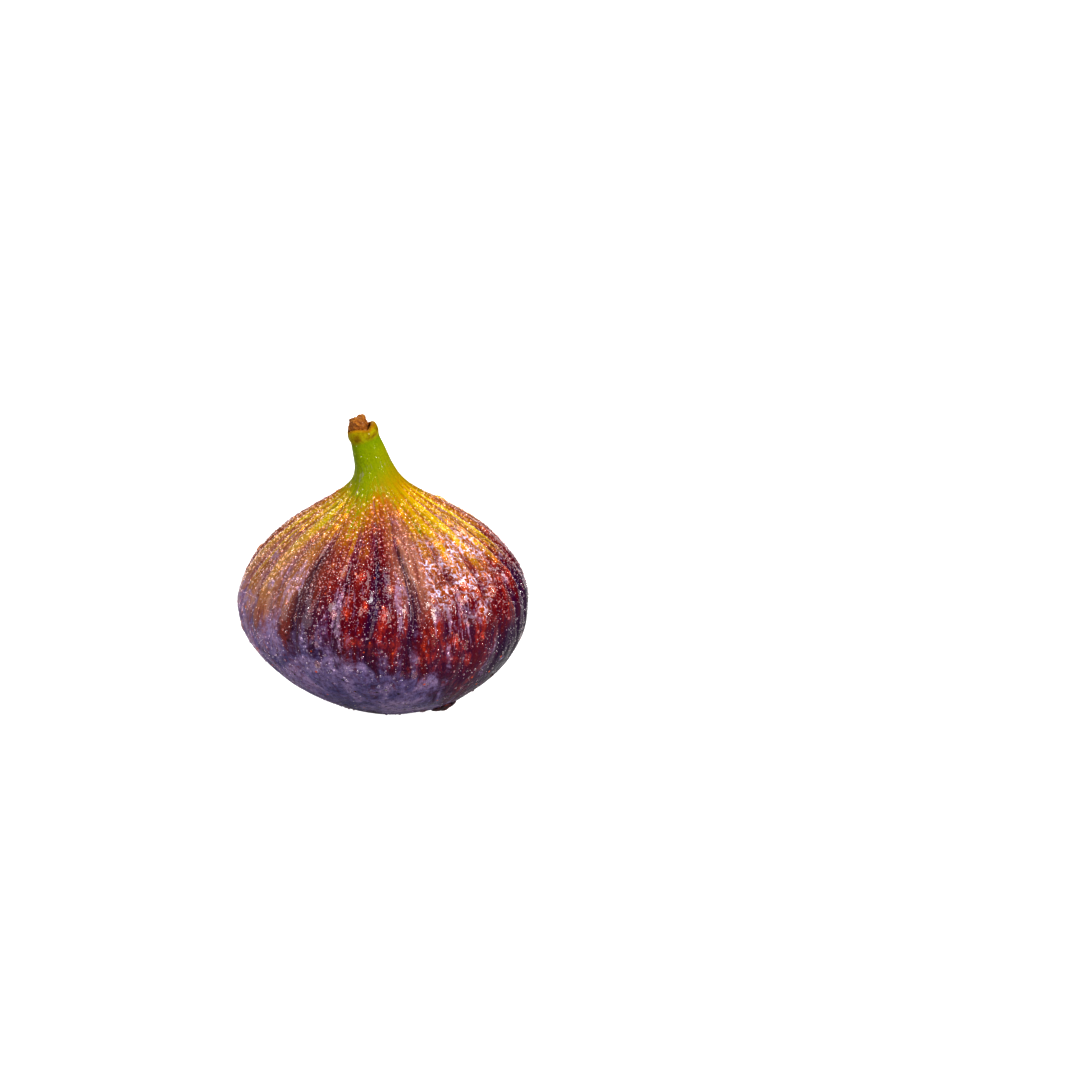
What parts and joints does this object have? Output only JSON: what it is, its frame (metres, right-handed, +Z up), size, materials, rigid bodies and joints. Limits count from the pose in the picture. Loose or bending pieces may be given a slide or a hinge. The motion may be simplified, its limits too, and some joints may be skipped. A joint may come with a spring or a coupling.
{
  "type": "fig",
  "caption": "Whole ripe purple fig with a ribbed shoulder, a short green neck leaning to one side, a torn stalk stump and a closed eye.",
  "frame": {"origin": "middle of the small flat that the fig stands on", "axes": "+Z up towards the stalk, -Y is the side that shows in the picture, the neck leans towards -X"},
  "size_m": [0.0579, 0.058, 0.0599],
  "materials": {
    "skin": "gloss",
    "bark": "matte"
  },
  "bodies": {
    "root": {"fruit": "skin", "stalk": "bark"}
  },
  "joints": []
}
